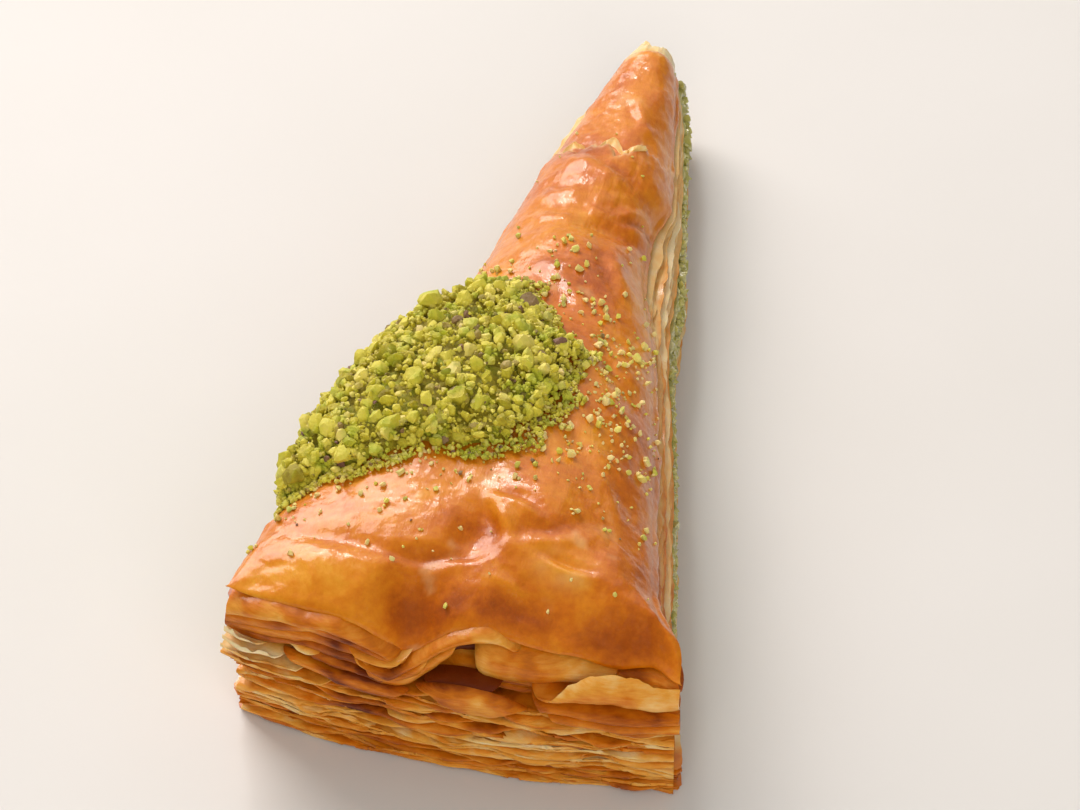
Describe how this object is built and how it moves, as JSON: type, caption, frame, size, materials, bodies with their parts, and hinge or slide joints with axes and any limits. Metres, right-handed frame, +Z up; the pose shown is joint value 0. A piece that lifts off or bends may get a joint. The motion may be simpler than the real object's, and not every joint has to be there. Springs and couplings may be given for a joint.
{
  "type": "baklava piece",
  "caption": "Long wedge of filo pastry cut from a round tray, with a puffed glossy crust, ruffled sheet ends at its broad end, a pale green filling band and a heap of ground pistachio.",
  "frame": {"origin": "middle of the flat base, halfway along the wedge", "axes": "+Z up, +Y along the wedge towards its narrow tip, +X to the right seen from the broad end"},
  "size_m": [0.0696, 0.1514, 0.043],
  "materials": {
    "crust": null,
    "filling": null,
    "pistachio": null
  },
  "bodies": {
    "root": {"pastry": "crust", "filling": "filling", "pistachio": "pistachio"}
  },
  "joints": []
}
